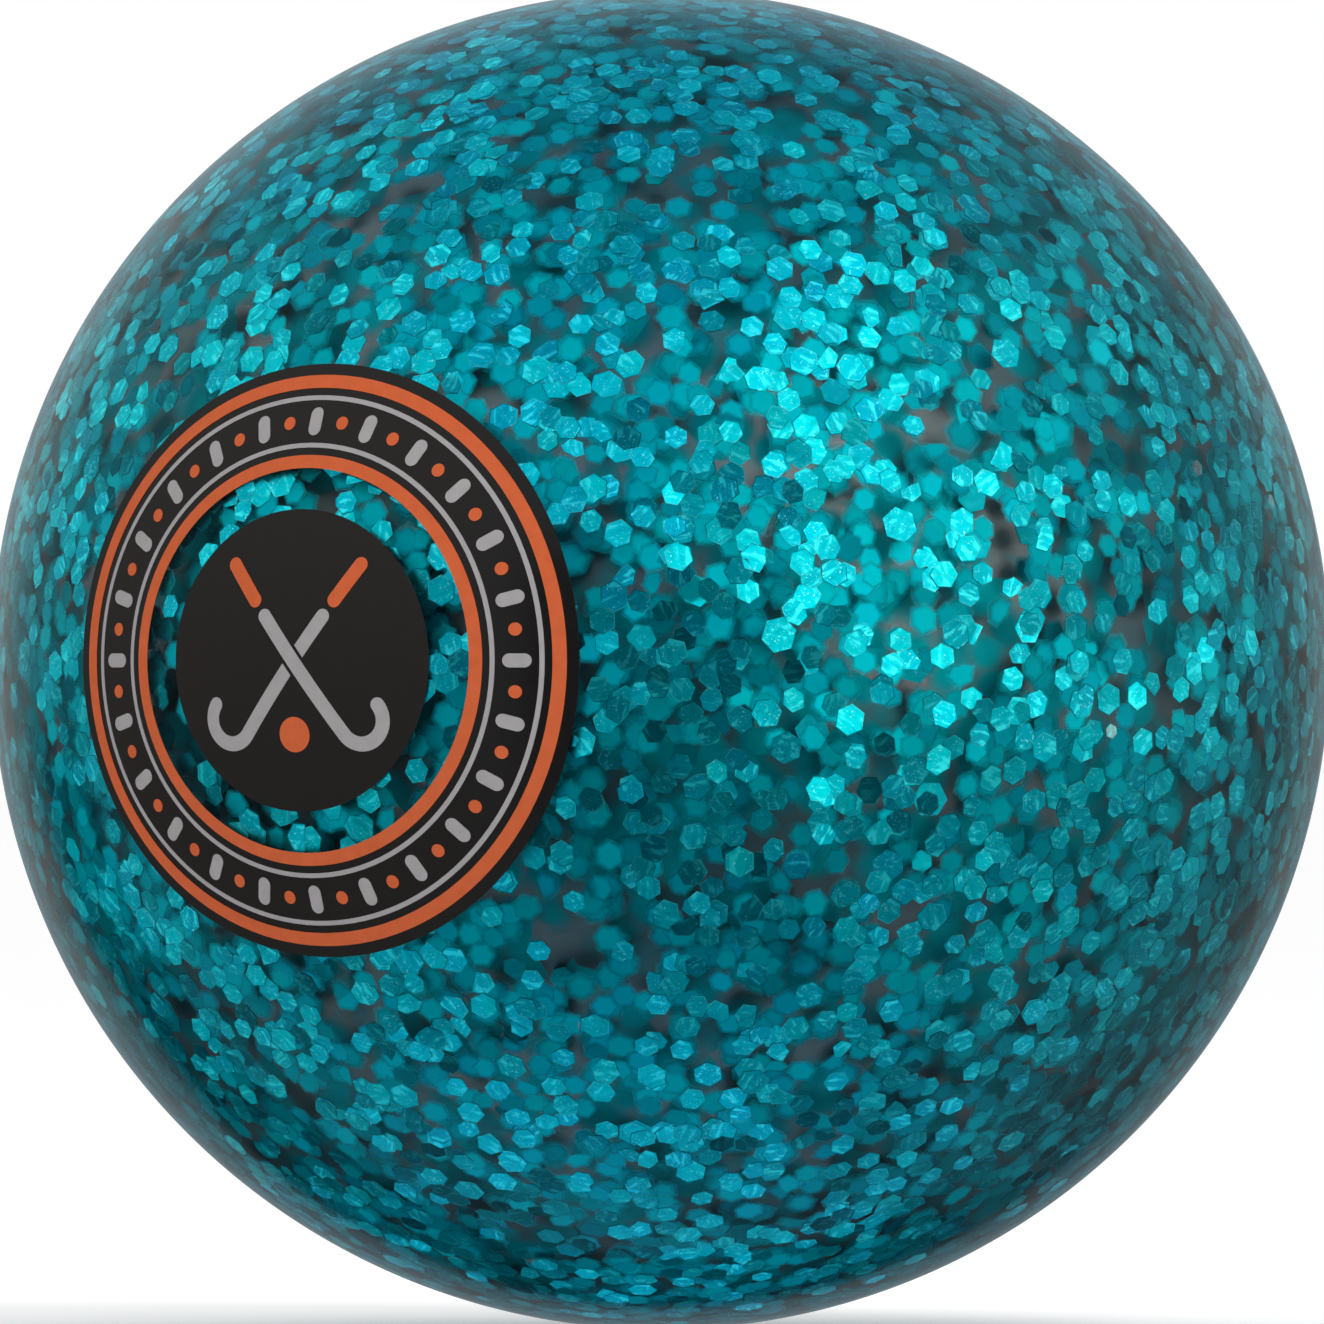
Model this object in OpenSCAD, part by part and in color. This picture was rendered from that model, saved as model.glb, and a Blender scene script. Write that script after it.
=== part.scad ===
// Field hockey ball: a dark core, a clear cover moulded round it with hexagonal glitter
// flakes inside its wall, and a round mark printed on the front in three inks.
// Millimetres, +Z up, the origin at the ball's centre, the printed mark facing -Y.

/* [Ball] */
// Diameter over the cover
ball_d = 73; // [71.3:0.1:74.8]
// Thickness of the clear cover
cover_wall = 5; // [3.5:0.5:9]

/* [Glitter] */
// Size of the smallest flake from corner to corner
small_flake_w = 1.2; // [0.8:0.1:1.4]
// Size of the largest flake from corner to corner
large_flake_w = 2; // [1.5:0.1:2.4]
// Thickness of a flake
flake_t = 0.1; // [0.05:0.01:0.2]
// Clear material between the ball's surface and the outermost flakes
top_clear = 0.15; // [0.1:0.05:0.5]
// Clear material between the innermost flakes and the core
bottom_clear = 0.15; // [0.1:0.05:0.5]
// Clear material between one layer of flakes and the next
layer_clear = 0.1; // [0.05:0.05:0.4]
// Layers of flakes in each of the outer, middle and inner groups
group_layers = 2; // [1:1:2]
// Flakes in each layer
layer_flakes = 98; // [20:2:98]
// How far a flake leans, as a share of what its layer's depth leaves room for
flake_lean = 0.7; // [0:0.05:1]
// How far a flake strays from its even place, as a share of the spacing
flake_stray = 0.35; // [0:0.05:0.4]

/* [Printed mark] */
// Radius of the whole mark, square to its axis
mark_r = 15.9; // [14:0.1:18]
// Thickness of one coat of ink
ink_t = 0.03; // [0.02:0.01:0.08]
// Black showing outside the outer orange ring
rim_w = 0.6; // [0.3:0.1:1]
// Width of the two orange rings
orange_ring_w = 0.7; // [0.4:0.1:1]
// Width of the two silver rings
silver_ring_w = 0.25; // [0.2:0.05:0.4]
// Black between one ring and the next
ring_gap = 0.4; // [0.3:0.1:0.8]
// Length of a dash or a dot in the band, measured outwards
dash_l = 1.5; // [1:0.1:2]
// Width of a dash
dash_w = 0.75; // [0.4:0.05:1]
// Diameter of the dot between two dashes
dot_d = 0.7; // [0.4:0.1:1]
// Dashes round the band
dashes = 24; // [12:1:28]
// Width of the clear ring between the band and the centre disc
window_w = 2.2; // [1:0.1:3]

/* [Crossed sticks] */
// Black between the sticks' ends and the edge of the centre disc
disc_margin = 1.2; // [0.6:0.1:1.6]
// Width of a stick
stick_w = 0.8; // [0.5:0.1:1.2]
// Radius of the hook along its middle line
hook_r = 1.3; // [1:0.1:1.6]
// Length of the orange grip at the top
grip_l = 3.2; // [2:0.1:4]
// Black between the grip and the shaft
grip_gap = 0.3; // [0.2:0.1:0.5]
// Black line beside the front stick where it crosses the other
cross_gap = 0.2; // [0.1:0.05:0.4]
// Angle between a stick and the vertical
stick_tilt = 38; // [30:1:45]
// Diameter of the orange ball under the crossing
spot_d = 1.9; // [1:0.1:2.4]

/* [Hidden] */

ball_r = ball_d / 2;
core_r = ball_r - cover_wall;
group_colors = ["#10b7c0", "#0a8f9b", "#07606c"];

// Rings of the mark from the edge inwards, each starting where the last one and its gap end
orange_out_r = mark_r - rim_w;
silver_out_r = orange_out_r - orange_ring_w - ring_gap;
dash_out_r = silver_out_r - silver_ring_w - ring_gap;
silver_in_r = dash_out_r - dash_l - ring_gap;
orange_in_r = silver_in_r - silver_ring_w - ring_gap;
band_in_r = orange_in_r - orange_ring_w;
disc_r = band_in_r - window_w;

// Both ends of a stick lie on this radius, and its hook is centred hook_y along the stick
stick_end_r = disc_r - disc_margin;
hook_y = -sqrt(pow(stick_end_r - hook_r - stick_w / 2, 2) - pow(hook_r, 2));
shaft_top_y = stick_end_r - grip_l - grip_gap;

// Even places on a sphere come from a spiral that turns by this angle for each flake
golden_turn = 180 * (3 - sqrt(5));
even_spacing = sqrt(4 * PI / layer_flakes);

// The layers share the wall's depth evenly, and what a flat flake leaves of one is room to lean
layers = len(group_colors) * group_layers;
layer_pitch = (cover_wall - top_clear - bottom_clear) / layers;
lean_room = layer_pitch - layer_clear - flake_t;

// Rows of seeded numbers, one row for each thing that strays in a layer
along_row = 0;
across_row = 1;
lean_row = 2;
lean_way_row = 3;
turn_row = 4;
width_row = 5;
rows = 6;

sphere_fn = 128;
ring_fn = 96;
dash_fn = 24;

// Radius at which the flakes of a layer lie, counted from 0 at the outermost
function layer_r(layer) = ball_r - top_clear - (layer + 0.5) * layer_pitch;

// Seeded numbers from -1 to 1, one for each flake of a layer
function strays(layer, row) = rands(-1, 1, layer_flakes, rows * layer + row);

// Width of a flake for a number from -1 to 1, with few large ones
function flake_w(stray) = small_flake_w + (large_flake_w - small_flake_w) * pow(stray, 2);

// One flake about its middle. It leans by a number from -1 to 1, towards lean_way
module flake(width, lean, lean_way, turn) {
    tilt = atan(flake_lean * lean * lean_room / width);
    rotate([tilt, 0, lean_way])
        rotate([0, 0, turn])
            cylinder(h = flake_t, d = width, center = true, $fn = 6);
}

// One layer of flakes, lying nearly flat under the surface
module flake_layer(layer) {
    along = strays(layer, along_row);
    across = strays(layer, across_row);
    lean = strays(layer, lean_row);
    lean_way = strays(layer, lean_way_row);
    turn = strays(layer, turn_row);
    width = strays(layer, width_row);
    stray_deg = flake_stray * even_spacing * 180 / PI;
    for (i = [0 : layer_flakes - 1]) {
        polar = acos(1 - (2 * i + 1) / layer_flakes) + stray_deg * along[i] / 2;
        round_z = golden_turn * (i + layer / layers) + stray_deg * across[i] / 2;
        rotate([0, polar, round_z])
            translate([0, 0, layer_r(layer)])
                flake(flake_w(width[i]), lean[i], 180 * lean_way[i], 180 * turn[i]);
    }
}

module core() {
    color("#2b2829") sphere(r = core_r, $fn = sphere_fn);
}

// The wall closes round every flake, so each flake sits in a pocket of its own shape
module cover() {
    color([0.55, 0.75, 0.78, 0.3])
        difference() {
            sphere(r = ball_r, $fn = sphere_fn);
            sphere(r = core_r, $fn = sphere_fn);
            for (layer = [0 : layers - 1]) flake_layer(layer);
        }
}

// A group is the outer, middle or inner share of the layers, counted from 0
module glitter(group) {
    color(group_colors[group])
        for (layer = [group * group_layers : (group + 1) * group_layers - 1])
            flake_layer(layer);
}

module ring(outer_r, width) {
    difference() {
        circle(r = outer_r, $fn = ring_fn);
        circle(r = outer_r - width, $fn = ring_fn);
    }
}

// A flat drawing laid on the ball's front as a film of ink, between two heights over the surface
module ink(low, high) {
    intersection() {
        difference() {
            sphere(r = ball_r + high, $fn = sphere_fn);
            sphere(r = ball_r + low, $fn = sphere_fn);
        }
        rotate([90, 0, 0]) linear_extrude(height = ball_d) children();
    }
}

// A bar with round ends, which reach from one height to the other
module bar(low, high, width) {
    translate([-width / 2, low + width / 2]) square([width, high - low - width]);
    for (y = [low + width / 2, high - width / 2])
        translate([0, y]) circle(d = width, $fn = dash_fn);
}

// A stick's shaft and hook, standing upright with the disc's centre at the origin
module shaft() {
    bar(hook_y - stick_w / 2, shaft_top_y, stick_w);
    translate([hook_r, hook_y])
        intersection() {
            ring(hook_r + stick_w / 2, stick_w);
            translate([-2 * hook_r, -2 * hook_r]) square([4 * hook_r, 2 * hook_r]);
        }
    translate([2 * hook_r, hook_y]) circle(d = stick_w, $fn = dash_fn);
}

module grip() {
    bar(stick_end_r - grip_l, stick_end_r, stick_w);
}

// The two sticks lean opposite ways, and the front one keeps a black line at its sides
module front() {
    rotate(stick_tilt) children();
}

module back() {
    mirror([1, 0]) rotate(stick_tilt) children();
}

module shafts() {
    front() shaft();
    difference() {
        back() shaft();
        front() bar(-stick_end_r / 2, stick_end_r / 2, stick_w + 2 * cross_gap);
    }
}

module grips() {
    front() grip();
    back() grip();
}

module dash_ring() {
    for (i = [0 : dashes - 1])
        rotate(360 / dashes * i)
            bar(dash_out_r - dash_l, dash_out_r, dash_w);
}

module dot_ring() {
    for (i = [0 : dashes - 1])
        rotate(360 / dashes * (i + 0.5))
            translate([0, dash_out_r - dash_l / 2])
                circle(d = dot_d, $fn = dash_fn);
}

module print_black() {
    color("#1b191b")
        ink(0, ink_t) {
            ring(mark_r, mark_r - band_in_r);
            circle(r = disc_r, $fn = ring_fn);
        }
}

module print_orange() {
    color("#d2562a")
        ink(ink_t, 2 * ink_t) {
            ring(orange_out_r, orange_ring_w);
            ring(orange_in_r, orange_ring_w);
            dot_ring();
            grips();
            translate([0, hook_y * cos(stick_tilt)]) circle(d = spot_d, $fn = dash_fn);
        }
}

module print_silver() {
    color("#a4a2a6")
        ink(ink_t, 2 * ink_t) {
            ring(silver_out_r, silver_ring_w);
            ring(silver_in_r, silver_ring_w);
            dash_ring();
            shafts();
        }
}

core();
cover();
glitter(0);  // glitter_outer
glitter(1);  // glitter_middle
glitter(2);  // glitter_inner
print_black();
print_orange();
print_silver();
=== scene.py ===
"""Field hockey ball: the looks of its core, clear cover, glitter and printed mark."""

import math

import bpy
import numpy as np
from mathutils import Matrix, Vector, kdtree, noise


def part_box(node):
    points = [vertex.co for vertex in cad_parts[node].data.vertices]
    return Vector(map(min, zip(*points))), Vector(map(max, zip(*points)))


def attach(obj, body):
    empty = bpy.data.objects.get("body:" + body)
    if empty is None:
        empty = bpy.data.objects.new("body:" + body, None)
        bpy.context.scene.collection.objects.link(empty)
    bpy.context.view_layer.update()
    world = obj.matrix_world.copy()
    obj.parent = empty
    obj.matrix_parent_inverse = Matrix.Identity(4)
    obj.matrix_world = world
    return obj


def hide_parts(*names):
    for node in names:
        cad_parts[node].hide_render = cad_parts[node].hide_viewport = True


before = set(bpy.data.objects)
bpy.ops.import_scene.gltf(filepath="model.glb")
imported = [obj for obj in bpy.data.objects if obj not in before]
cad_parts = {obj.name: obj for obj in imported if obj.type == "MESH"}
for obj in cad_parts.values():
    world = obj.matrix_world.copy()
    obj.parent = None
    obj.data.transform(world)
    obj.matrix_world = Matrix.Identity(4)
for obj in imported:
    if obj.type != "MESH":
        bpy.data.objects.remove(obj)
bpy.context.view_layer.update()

MM = 0.001

# Sizes taken from the solids
BALL_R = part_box("cover")[1].z
CORE_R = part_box("core")[1].z

# The nodes of the frame's own flakes
SOLID_FLAKES = ("glitter_outer", "glitter_middle", "glitter_inner")

# A loose flake's size, and the clear plastic that stays between its rim and the ball's surface
FLAKE_T = 0.05 * MM
NARROW_W = 1.36 * MM
EXTRA_W = 0.4 * MM
TOP_CLEAR = 0.06 * MM

# Least distance between the middles of two loose flakes of one layer
FLAKE_SPACING = 1.1 * MM

# How far the loose flakes lean, together with their neighbours and each by itself
FLOW_LEAN = math.radians(9)
OWN_LEAN = math.radians(4.6)

# Without a seed, the noise that leans the loose flakes would start from the time of day
noise.seed_set(5)

# Each loose flake draws a number from 0 to 1. The few above this one are small and uncoloured
BARE_FROM = 0.9975
BARE_SIZE = 0.6

# Name of the map that gives each loose flake a cell of its own on a texture. The
# exporter keeps a map of this name for its textures
BAKE_MAP = "OFBake"

# The ball in the photograph, in pixels of its square frame
PHOTO_SIDE = 1324
BALL_CENTRE_PX = (660.6, 660.4)
BALL_RADIUS_PX = 669

# The camera looks level, from this far round to the ball's right
CAMERA_TURN = math.radians(32.6)
CAMERA_DISTANCE = 1.5
SENSOR_MM = 36

# Light of the world on surfaces, where 1 is white, and what a lit floor is short of white
ROOM_LIGHT = 0.75
FLOOR_LIFT = 0.34

# Radius of the tent of cloth round the ball, and how much light its black cloths take away
TENT_R = 0.3
BLACK_CLOTH = 0.98


class Signal:
    """An output of a shader node. Arithmetic on it adds Math nodes to its material."""

    def __init__(self, shader, socket):
        self.shader = shader
        self.socket = socket

    def __add__(self, other):
        return self.shader.maths("ADD", self, other)

    def __sub__(self, other):
        return self.shader.maths("SUBTRACT", self, other)

    def __rsub__(self, other):
        return self.shader.maths("SUBTRACT", other, self)

    def __mul__(self, other):
        return self.shader.maths("MULTIPLY", self, other)

    __radd__ = __add__
    __rmul__ = __mul__

    def smooth(self, low, high, start=0.0, end=1.0):
        """This value's soft step from start to end while it goes from low to high."""
        return self.shader.add(
            "MapRange",
            {"interpolation_type": "SMOOTHSTEP"},
            {"Value": self, "From Min": low, "From Max": high, "To Min": start, "To Max": end},
        )

    def between(self, rise, full, fade, gone):
        """1 while this value lies from full to fade, with soft edges out to rise and gone."""
        return self.smooth(rise, full) * self.smooth(fade, gone, 1.0, 0.0)

    def outputs(self, *names):
        """Other outputs of the node that this one comes from."""
        return [Signal(self.shader, self.socket.node.outputs[name]) for name in names]


class Shader:
    """A node tree that is filled from code."""

    def __init__(self, tree):
        self.tree = tree
        self.tree.nodes.clear()

    def add(self, kind, settings=None, inputs=None, output=0):
        """Adds a node: its settings first, then values or links for its sockets."""
        node = self.tree.nodes.new("ShaderNode" + kind)
        for name, value in (settings or {}).items():
            setattr(node, name, value)
        for name, value in (inputs or {}).items():
            if isinstance(value, Signal):
                self.tree.links.new(value.socket, node.inputs[name])
            else:
                node.inputs[name].default_value = value
        return Signal(self, node.outputs[output]) if len(node.outputs) else None

    def maths(self, operation, *terms):
        return self.add("Math", {"operation": operation}, dict(enumerate(terms)))

    def blend(self, factor, first, second):
        """Colour that goes from the first to the second."""
        a, b, result = 6, 7, 2
        return self.add("Mix", {"data_type": "RGBA"}, {0: factor, a: first, b: second}, result)

    def place(self):
        return self.add("TexCoord", output="Object")

    def stretched(self, where, factors):
        return self.add("VectorMath", {"operation": "MULTIPLY"}, {0: where, 1: factors})

    def noise(self, where, scale, detail):
        return self.add(
            "TexNoise",
            {"noise_dimensions": "3D"},
            {"Vector": where, "Scale": scale, "Detail": detail},
        )


def rgb(red, green, blue):
    """A colour given as it shows on screen, 0 to 255, as linear light with alpha 1."""
    def linear(level):
        level /= 255
        return level / 12.92 if level <= 0.04045 else ((level + 0.055) / 1.055) ** 2.4
    return (linear(red), linear(green), linear(blue), 1)


def shaded(colour, share):
    """A colour with this share of its light."""
    return (*(level * share for level in colour[:3]), 1)


def new_material(name):
    material = bpy.data.materials.new(name)
    material.use_nodes = True
    return material, Shader(material.node_tree)


def finish_surface(shader, surface):
    shader.add("OutputMaterial", inputs={"Surface": surface})


def coat(node, material):
    """Gives a solid of the frame one material."""
    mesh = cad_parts[node].data
    mesh.materials.clear()
    mesh.materials.append(material)


# Materials


def clear_plastic():
    """The cover's clear plastic. Its tint keeps the surface's own reflections faint."""
    material, s = new_material("clear_cover")
    surface = s.add("BsdfPrincipled", inputs={
        "Base Color": rgb(250, 254, 254),
        "Roughness": 0.0,
        "IOR": 1.5,
        "Specular Tint": (0.07, 0.07, 0.07, 1),
        "Transmission Weight": 1.0,
    })
    finish_surface(s, surface)
    return material


def soft_spots(s, where, scale):
    """Round spots with blurred edges, and a number for each spot."""
    cells = s.add("TexVoronoi", {"feature": "F1"}, {"Vector": where, "Scale": scale})
    distance, colour = cells.outputs("Distance", "Color")
    number = s.add("SeparateColor", inputs={"Color": colour}, output="Red")
    return distance.smooth(0.3, 0.8, 1.0, 0.0), number


def dark_composite():
    """The core's dark satin ground, with the deepest flakes as blurred spots on it."""
    material, s = new_material("core_composite")
    where = s.place()
    grain = s.noise(where, 900, 2)
    colour = s.blend(grain, rgb(14, 60, 68), rgb(24, 78, 87))
    bare = 1.0
    for scale, dim, bright in (
        (430, rgb(0, 140, 150), rgb(0, 160, 168)),
        (520, rgb(0, 156, 164), rgb(0, 182, 190)),
    ):
        spot, number = soft_spots(s, where, scale)
        spot = spot * number.smooth(0.28, 0.5)
        colour = s.blend(spot, colour, s.blend(number, dim, bright))
        bare = (1 - spot) * bare
    surface = s.add("BsdfPrincipled", inputs={
        "Base Color": colour,
        "Metallic": 0.5 - bare * 0.5,
        "Roughness": 0.5,
        "Specular IOR Level": 0.0,
        "Coat Weight": bare,
        "Coat Roughness": 0.36,
        "Coat IOR": 2.0,
    })
    finish_surface(s, surface)
    return material


def film_colour(s, number):
    """Teal, which a flake's own number makes brighter, or the plain grey of an uncoloured flake."""
    middle = 0.35
    bare_edge = 0.0005
    colour = s.blend(number.smooth(0.0, middle), rgb(0, 157, 174), rgb(0, 173, 187))
    colour = s.blend(number.smooth(middle, 1.0), colour, rgb(0, 194, 203))
    return s.blend(number.smooth(BARE_FROM, BARE_FROM + bare_edge), colour, rgb(150, 158, 160))


def painted_crease_light(s, colour, weave, crisp):
    """Painted shade and painted highlights along the film's creases, and painted glints as bright spots
    on it.
    """
    creases = s.noise(s.stretched(weave, (1, 0.3, 1)), 1.7, 1)
    # Painted shade in the creases
    colour = s.blend(creases.smooth(0.46, 0.32, 0.0, 0.3 * crisp), colour, rgb(0, 130, 152))
    # Painted highlight on the creases
    colour = s.blend(creases.smooth(0.54, 0.68, 0.0, 0.6 * crisp), colour, rgb(60, 238, 244))
    # Painted glints: bright spots that stand in for light caught by the film's emboss
    painted_glints = s.noise(weave, 4.5, 1)
    return s.blend(painted_glints.smooth(0.62, 0.8, 0.0, 0.8 * crisp), colour, rgb(150, 250, 252))


def painted_edge_light(s, colour, weave, rim):
    """A flake's cut edges, with painted shade on one side of it and a painted highlight on the other.
    """
    edge = rim.smooth(0.9, 0.97)
    side = s.add("SeparateXYZ", inputs={"Vector": weave}, output="X")
    # Painted shade along one side of the rim
    colour = s.blend(edge * side.smooth(0.2, -0.7), colour, rgb(0, 122, 136))
    # Painted highlight along the other side of the rim
    return s.blend(edge * side.smooth(0.2, 0.9, 0.0, 0.4), colour, rgb(90, 238, 244))


def glitter_film(name, pattern, metal, dull, crisp=0.0, soft=0.0):
    """Metallised film, whose pattern gives a flake's number, its weave's place and nearness of the rim.

    A crisp film shows painted shade and highlights on its creases, painted glints, and cut edges
    painted dark on one side and bright on the other. A soft one fades out towards its rim.
    """
    material, s = new_material(name)
    number, weave, rim = pattern(s)
    colour = film_colour(s, number)
    inputs = {
        "Metallic": metal,
        "Roughness": number.smooth(0.0, 1.0, dull, dull + 0.12),
        "Specular IOR Level": 0.0,
        "Specular Tint": (0.0, 0.6, 0.7, 1),
    }
    if crisp:
        colour = painted_crease_light(s, colour, weave, crisp)
    if crisp and rim:
        colour = painted_edge_light(s, colour, weave, rim)
        inputs["Metallic"] = rim.smooth(0.88, 0.97, metal, metal * 0.6)
    if soft:
        inputs["Alpha"] = rim.smooth(1.0 - soft, 1.0, 1.0, 0.0)
    inputs["Base Color"] = colour
    finish_surface(s, s.add("BsdfPrincipled", inputs=inputs))
    return material


def solid_flake(s):
    """Pattern for the frame's own flakes, all from the place on the ball. They have no rim value."""
    where = s.place()
    weave_scale = 2200
    return s.noise(where, 260, 0), s.stretched(where, (weave_scale,) * 3), None


def loose_flake(s):
    """Pattern for the loose flakes, from the attributes of their meshes."""
    weave = s.add("Attribute", {"attribute_name": "weave"}, output="Vector")
    rim = s.add("Attribute", {"attribute_name": "rim"}, output="Fac")
    number = s.add("Attribute", {"attribute_name": "number"}, output="Fac")
    return number, weave, rim


def ink(name, colour, roughness, gloss):
    """A coat of ink, a little uneven in colour and gloss."""
    material, s = new_material(name)
    grain = s.noise(s.place(), 1500, 3)
    surface = s.add("BsdfPrincipled", inputs={
        "Base Color": s.blend(grain, shaded(colour, 0.85), shaded(colour, 1.1)),
        "Roughness": grain.smooth(0.3, 0.7, roughness, roughness + 0.08),
        "Specular IOR Level": gloss,
    })
    finish_surface(s, surface)
    return material


# Pieces


def nothing_selected():
    bpy.ops.object.select_all(action="DESELECT")


def flat_to_origin(piece):
    """Moves a piece's place into its mesh, with its object unturned at the origin."""
    piece.data.transform(piece.matrix_world)
    piece.matrix_world = Matrix.Identity(4)


def make_cover(material):
    """The clear wall: a smooth outer ball, and an inner one that the core's surface hides."""
    under_core = 0.05 * MM
    nothing_selected()
    bpy.ops.mesh.primitive_ico_sphere_add(subdivisions=7, radius=BALL_R)
    outer = bpy.context.object
    bpy.ops.mesh.primitive_ico_sphere_add(subdivisions=5, radius=CORE_R - under_core)
    bpy.ops.object.mode_set(mode="EDIT")
    bpy.ops.mesh.flip_normals()
    bpy.ops.object.mode_set(mode="OBJECT")
    outer.select_set(True)
    bpy.context.view_layer.objects.active = outer
    bpy.ops.object.join()
    bpy.ops.object.shade_smooth()
    outer.name = "clear_cover"
    outer.data.materials.append(material)
    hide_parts("cover")
    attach(outer, "root")


def hexagon_plate():
    """One flake, 1 across its corners and 1 thick: its points, its faces and its points' rim values.

    The rim value is 0 in the middle of an end and 1 at the corners.
    """
    nothing_selected()
    bpy.ops.mesh.primitive_cylinder_add(vertices=6, radius=0.5, depth=1, end_fill_type="TRIFAN")
    plate = bpy.context.object
    points = np.array([v.co for v in plate.data.vertices])
    faces = [tuple(f.vertices) for f in plate.data.polygons]
    bpy.data.objects.remove(plate)
    rim = (np.hypot(points[:, 0], points[:, 1]) > 0.1).astype(float)
    return points, faces, rim


def cell_map(points, faces, count):
    """Places on a texture for the faces of count flakes, each flake in a square cell of its own.

    A flake's two ends share the middle of its cell, and its sides stand in a row above them.
    """
    end_size, end_middle = 0.8, (0.5, 0.43)
    side_size, first_side = (0.12, 0.06), (0.02, 0.92)
    ends = points[:, :2] * end_size + end_middle
    side = np.array([(0, 0), (0, 1), (1, 1), (1, 0)]) * side_size + first_side
    side_count = sum(len(face) == 4 for face in faces)
    sides = (side + (i / side_count, 0) for i in range(side_count))
    cell = np.vstack([ends[list(face)] if len(face) == 3 else next(sides) for face in faces])
    across = math.ceil(math.sqrt(count))
    corners = np.array([divmod(i, across) for i in range(count)])
    return (cell[None] + corners[:, None]).reshape(-1, 2) / across


def scatter(rng, count, radius, taken):
    """Random points on a sphere, none closer to another or to a taken point than the spacing."""
    points = np.empty((0, 3))
    while len(points) < count:
        way = rng.normal(size=3)
        point = radius * way / np.linalg.norm(way)
        if taken.find(point)[2] < FLAKE_SPACING:
            continue
        if len(points) and np.min(np.sum((points - point) ** 2, axis=1)) < FLAKE_SPACING ** 2:
            continue
        points = np.vstack([points, point])
    return points


def corners_of(nodes):
    """A tree of the corners of the frame's own flakes, to keep loose ones clear of them."""
    corners = [v.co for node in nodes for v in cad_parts[node].data.vertices]
    tree = kdtree.KDTree(len(corners))
    for i, corner in enumerate(corners):
        tree.insert(corner, i)
    tree.balance()
    return tree


def flow(point):
    """The lean that a flake shares with its neighbours, as an axis as long as the lean is strong."""
    drift = 90
    return Vector(noise.noise_vector(Vector(point) * drift))


def trimmed(plate, rng):
    """The plate as the punch leaves it: one in five has a strip missing on one side."""
    trimmed_share = 0.2
    at_corner = 0.5
    way = rng.uniform(0, math.tau)
    across = np.array([math.cos(way), math.sin(way)])
    cut = rng.uniform(0.12, 0.4) if rng.random() < trimmed_share else at_corner
    over = np.maximum(0, plate[:, :2] @ across - cut)
    piece = plate.copy()
    piece[:, :2] -= over[:, None] * across
    return piece


def placed_plate(rng, plate, centre, depth, spread):
    """A copy of the plate as one loose flake with its middle at the centre, and its own number.

    It never leans so far that its rim would come out of the ball.
    """
    out = Vector(centre).normalized()
    lean = flow(centre) * FLOW_LEAN + Vector(rng.normal(size=3)) * OWN_LEAN
    turn = Matrix.Rotation(rng.uniform(0, math.tau), 3, "Z")
    number = rng.random()
    width = (NARROW_W + EXTRA_W * rng.random() ** 2) * spread
    if number > BARE_FROM:
        width *= BARE_SIZE
    size = Matrix.Diagonal((width, width * rng.uniform(0.85, 1.0), FLAKE_T))
    steepest = math.asin(min(1, 2 * (depth - TOP_CLEAR) / width))
    tilt = Matrix.Rotation(min(lean.length, steepest), 3, lean)
    shape = tilt @ out.to_track_quat("Z", "Y").to_matrix() @ turn @ size
    return trimmed(plate, rng) @ np.array(shape).T + centre, number


def flakes_mesh(name, flakes, numbers, plate, plate_faces, plate_rim):
    """One mesh of all the flakes, with the attributes that their film's pattern reads."""
    corners = len(plate)
    faces = [
        tuple(flake * corners + corner for corner in face)
        for flake in range(len(flakes)) for face in plate_faces
    ]
    mesh = bpy.data.meshes.new(name)
    mesh.from_pydata(np.vstack(flakes).tolist(), [], faces)
    weave_scale = (3, 3, 0)
    apart = (0, 0, 1000)
    weave = plate * weave_scale + np.outer(numbers, apart)[:, None]
    numbers = np.repeat(numbers, corners)
    rim = np.tile(plate_rim, len(flakes))
    attributes = mesh.attributes
    attributes.new("number", "FLOAT", "POINT").data.foreach_set("value", numbers)
    attributes.new("rim", "FLOAT", "POINT").data.foreach_set("value", rim)
    attributes.new("weave", "FLOAT_VECTOR", "POINT").data.foreach_set("vector", weave.ravel())
    places = mesh.uv_layers.new(name=BAKE_MAP)
    places.uv.foreach_set("vector", cell_map(plate, plate_faces, len(flakes)).ravel())
    return mesh


def glitter_layers(name, taken, material, depths, count, spread, seed, shades=False):
    """Loose flakes, count of them at each depth in mm, which fill in between the frame's own.

    The real film is thin enough to let some light by. Flakes that don't shade let the gloss of
    what lies under them out.
    """
    rng = np.random.default_rng(seed)
    plate, plate_faces, plate_rim = hexagon_plate()
    flakes, numbers = [], []
    for depth in depths:
        for centre in scatter(rng, count, BALL_R - depth * MM, taken):
            flake, number = placed_plate(rng, plate, centre, depth * MM, spread)
            flakes.append(flake)
            numbers.append(number)
    mesh = flakes_mesh(name, flakes, numbers, plate, plate_faces, plate_rim)
    mesh.materials.append(material)
    piece = bpy.data.objects.new(name, mesh)
    piece.visible_glossy = shades
    bpy.context.scene.collection.objects.link(piece)
    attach(piece, "root")


# Stage


def way_to(turn, height):
    """The way from the ball to what lies this far round from the front and this far up."""
    level = math.cos(height)
    return Vector((math.sin(turn) * level, -math.cos(turn) * level, math.sin(height)))


def aim_at_ball(thing, way, distance):
    """Puts a camera or lamp out along a way from the ball, and turns it back to the ball."""
    thing.location = way * distance
    thing.rotation_euler = (-way).to_track_quat("-Z", "Y").to_euler()
    bpy.context.scene.collection.objects.link(thing)


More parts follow.
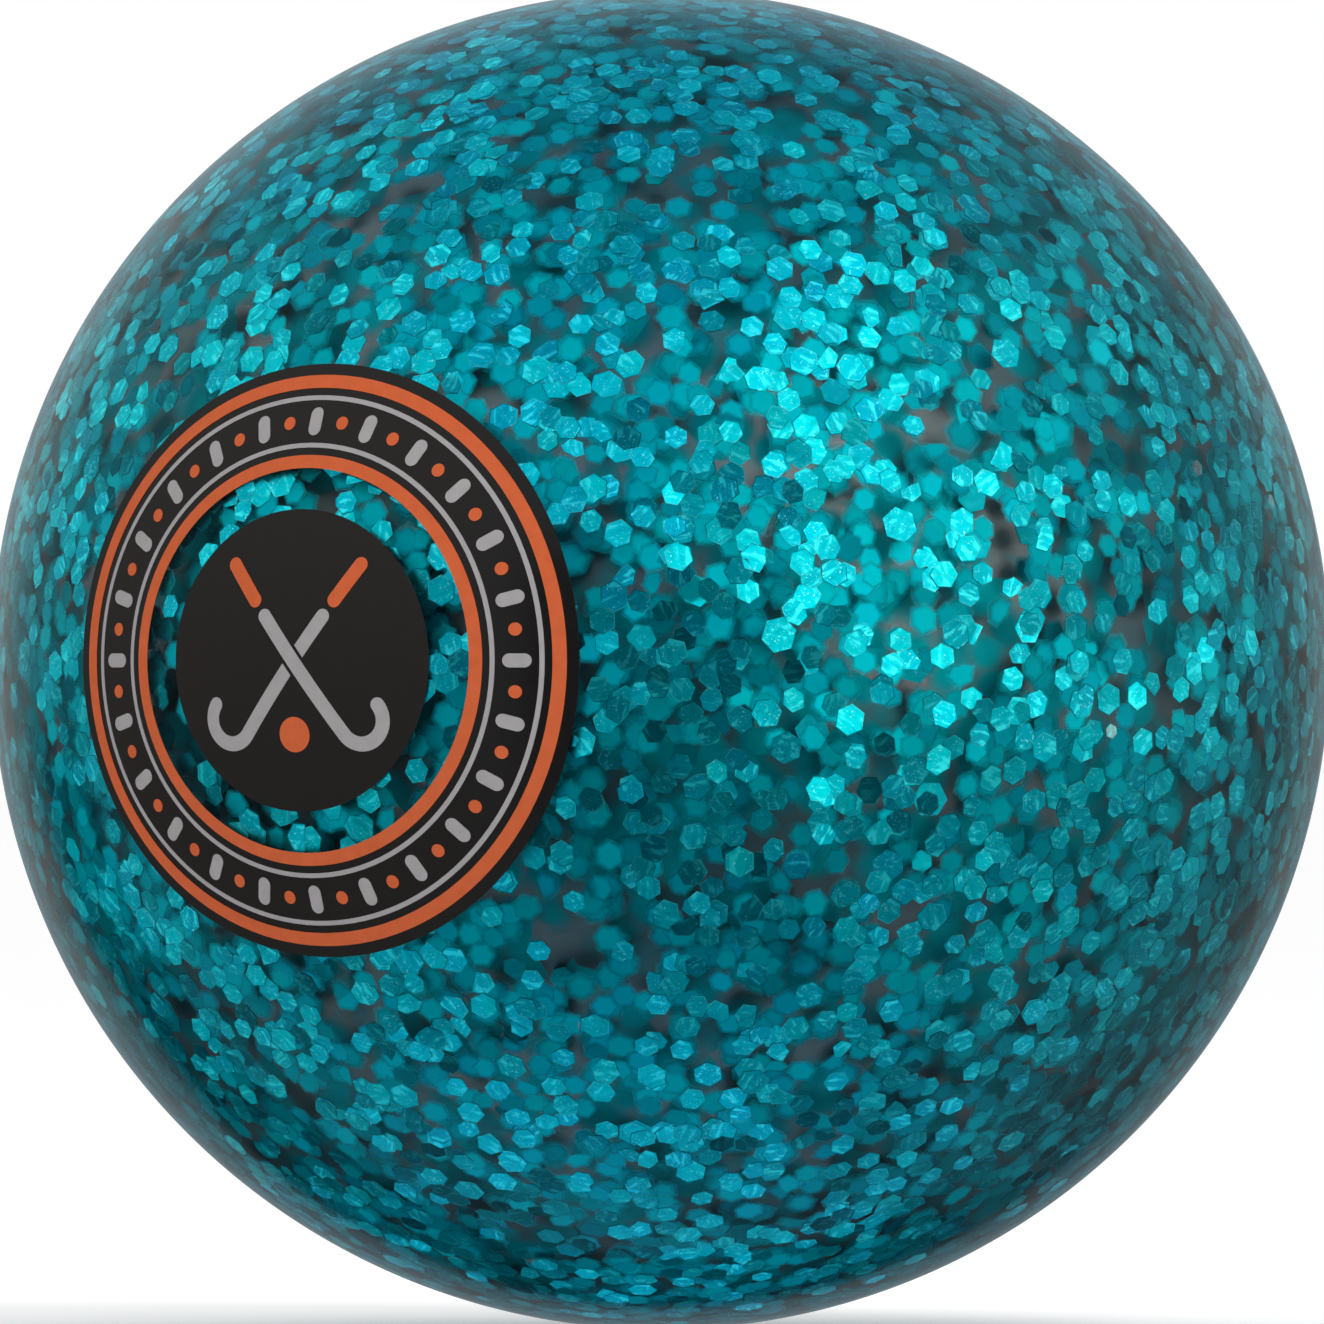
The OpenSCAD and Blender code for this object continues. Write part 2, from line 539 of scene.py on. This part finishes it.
def make_camera():
    data = bpy.data.cameras.new("camera")
    half_view = math.tan(math.asin(BALL_R / CAMERA_DISTANCE)) * PHOTO_SIDE / 2 / BALL_RADIUS_PX
    data.sensor_width = SENSOR_MM
    data.lens = SENSOR_MM / 2 / half_view
    data.shift_x = (PHOTO_SIDE / 2 - BALL_CENTRE_PX[0]) / PHOTO_SIDE
    data.shift_y = (BALL_CENTRE_PX[1] - PHOTO_SIDE / 2) / PHOTO_SIDE
    data.clip_end = 50
    camera = bpy.data.objects.new("camera", data)
    aim_at_ball(camera, way_to(CAMERA_TURN, 0), CAMERA_DISTANCE)
    bpy.context.scene.camera = camera


def seen_ray(s):
    """1 for what the camera sees, by itself, in gloss or through glass, and 0 for light on surfaces."""
    camera, glossy, through = s.add("LightPath").outputs(
        "Is Camera Ray", "Is Glossy Ray", "Is Transmission Ray")
    return s.maths("MAXIMUM", s.maths("MAXIMUM", camera, glossy), through)


def make_world():
    """White where it is seen, also in gloss and through glass, and a soft light on the rest."""
    world = bpy.data.worlds.new("studio")
    bpy.context.scene.world = world
    world.use_nodes = True
    s = Shader(world.node_tree)
    background = s.add("Background", inputs={
        "Color": (1, 1, 1, 1),
        "Strength": seen_ray(s).smooth(0, 1, ROOM_LIGHT, 1.0),
    })
    s.add("OutputWorld", inputs={"Surface": background})


def make_floor():
    """A pale floor. What the lamps leave short of white is added for the eye, so shadows stay."""
    nothing_selected()
    bpy.ops.mesh.primitive_plane_add(size=90, location=(0, 0, -BALL_R))
    floor = bpy.context.object
    flat_to_origin(floor)
    floor.name = "floor"
    material, s = new_material("pale_floor")
    surface = s.add("BsdfPrincipled", inputs={
        "Base Color": (0.85, 0.85, 0.85, 1),
        "Roughness": 0.9,
        "Specular IOR Level": 0.0,
        "Emission Color": (1, 1, 1, 1),
        "Emission Strength": seen_ray(s) * FLOOR_LIFT,
    })
    finish_surface(s, surface)
    floor.data.materials.append(material)
    floor.visible_glossy = False
    floor.visible_transmission = False


def white_cloth(x, turn, height):
    """Light of the tent's white cloth, with a bright panel to the right of the camera."""
    light = height.smooth(-30, 40, 0.53, 1.1) * height.smooth(46, 66, 1.0, 0.58)
    light = light * x.smooth(-0.7, 0.0, 1.35, 1.0) * x.smooth(0.0, 0.6, 1.0, 0.82)
    light = light + height.smooth(-50, -75, 0.0, 0.48)
    light = light + x.smooth(0.35, 0.65) * height.smooth(-32, -48, 0.0, 0.2)
    panel = (turn + height * 0.3).smooth(10, 40) * (turn + height * 0.4).smooth(58, 88, 1.0, 0.0)
    panel = panel * height.smooth(-16, 6, 0.05, 2.15) * height.smooth(36, 61, 1.0, 0.15)
    return light + panel


def front_gap(turn, height, off_axis):
    """1 in the dark gap in the cloth where the camera stands."""
    gap = turn.between(-27, -17, 20, 35) * height.between(-48, -36, 11, 23)
    return gap * off_axis.smooth(80, 90, 1.0, 0.0)


def low_band(s, way, x, z, off_axis):
    """1 in the wavy black band low behind the ball, which darkens the ball's lower rim."""
    wave = off_axis + s.noise(way, 4, 1) * 10 + x.smooth(-0.2, -0.6, 0.0, 7.0)
    return wave.between(120, 127, 143, 151) * z.smooth(0.1, -0.25) * x.smooth(0.2, 0.6, 1.0, 0.5)


def tent_cloth():
    """The tent's light, by the way in which it is seen from the ball.

    x goes to the camera's right and z upwards, both as shares of 1. turn is the angle round to the
    right, height the angle up and off_axis the angle away from the camera, all in degrees.
    """
    material, s = new_material("tent_cloth")
    way = s.add("VectorMath", {"operation": "NORMALIZE"}, {0: s.place()})
    x, y, z = s.add("SeparateXYZ", inputs={"Vector": way}).outputs("X", "Y", "Z")
    front = 0 - y
    turn = s.maths("ARCTAN2", x, front) * math.degrees(1)
    height = s.maths("ARCSINE", z) * math.degrees(1)
    off_axis = s.maths("ARCCOSINE", front) * math.degrees(1)
    light = white_cloth(x, turn, height)
    light = light * (1 - front_gap(turn, height, off_axis) * BLACK_CLOTH)
    light = light * (1 - low_band(s, way, x, z, off_axis) * BLACK_CLOTH)

    # A plain mirror image, on ink or cover, is weaker than what the flakes see through the cover
    glossy, through = s.add("LightPath").outputs("Is Glossy Ray", "Is Transmission Ray")
    mirrored = glossy - through
    light = light * (1 - mirrored * off_axis.smooth(118, 158, 0.88, 0.6))
    light = light + mirrored * x.smooth(0.3, 0.7, 0.0, 0.12)

    warmth = light.smooth(0.9, 2.4) * height.smooth(35, 60, 1.0, 0.0) + mirrored * 0.5
    warmth = warmth + s.maths("ABSOLUTE", x).smooth(0.25, 0.6, 0.0, 0.6)
    cold_white, warm_white = (0.6, 0.94, 1.18, 1), (1.0, 1.0, 0.93, 1)
    cloth = s.blend(warmth, cold_white, warm_white)
    glow = s.add("VectorMath", {"operation": "SCALE"}, {0: cloth, "Scale": light})
    finish_surface(s, s.add("Emission", inputs={"Color": glow, "Strength": 1.0}))
    material.cycles.emission_sampling = "NONE"
    return material


def make_tent():
    """The tent of white cloth round the ball, which only its gloss and glitter see."""
    nothing_selected()
    bpy.ops.mesh.primitive_uv_sphere_add(
        segments=64, ring_count=32, radius=TENT_R, rotation=(0, 0, CAMERA_TURN))
    tent = bpy.context.object
    tent.name = "tent"
    tent.data.materials.append(tent_cloth())
    tent.visible_camera = False
    tent.visible_diffuse = False
    tent.visible_shadow = False


def make_key_lamp():
    """A round soft lamp to the right of the camera, high up."""
    turn = CAMERA_TURN + math.radians(40)
    height = math.radians(50)
    distance = 1.0
    data = bpy.data.lights.new("key", "AREA")
    data.shape = "DISK"
    data.size = 0.5
    data.energy = 3
    lamp = bpy.data.objects.new("key", data)
    lamp.visible_glossy = False
    lamp.visible_transmission = False
    aim_at_ball(lamp, way_to(turn, height), distance)


make_camera()
make_world()
make_floor()
make_tent()
make_key_lamp()

coat("core", dark_composite())
make_cover(clear_plastic())
coat("glitter_outer", glitter_film("film_outer", solid_flake, metal=0.9, dull=0.27, crisp=1.0))
coat("glitter_middle", glitter_film("film_middle", solid_flake, metal=0.85, dull=0.32, crisp=0.4))
coat("glitter_inner", glitter_film("film_inner", solid_flake, metal=0.75, dull=0.38, crisp=0.2))

cad_flakes = corners_of(SOLID_FLAKES)
near_film = glitter_film("film_near", loose_flake, metal=0.92, dull=0.25, crisp=1.0)
hazy_film = glitter_film("film_hazy", loose_flake, metal=0.82, dull=0.38, soft=0.5)
blurred_film = glitter_film("film_blurred", loose_flake, metal=0.75, dull=0.42, soft=0.65)
glitter_layers(
    "glitter_near", cad_flakes, near_film,
    depths=(0.25, 0.45, 0.65, 0.85), count=1320, spread=1.04, seed=11)
glitter_layers(
    "glitter_below", cad_flakes, hazy_film,
    depths=(1.15, 1.5, 1.85), count=1250, spread=1.28, seed=12)
glitter_layers(
    "glitter_deep", cad_flakes, blurred_film,
    depths=(2.4, 3.0, 3.6), count=950, spread=1.55, seed=13, shades=True)

coat("print_black", ink("ink_black", rgb(29, 27, 27), roughness=0.12, gloss=1.0))
coat("print_orange", ink("ink_orange", rgb(218, 98, 46), roughness=0.35, gloss=0.5))
coat("print_silver", ink("ink_silver", rgb(171, 168, 170), roughness=0.35, gloss=0.5))

scene = bpy.context.scene
scene.view_settings.view_transform = "Standard"
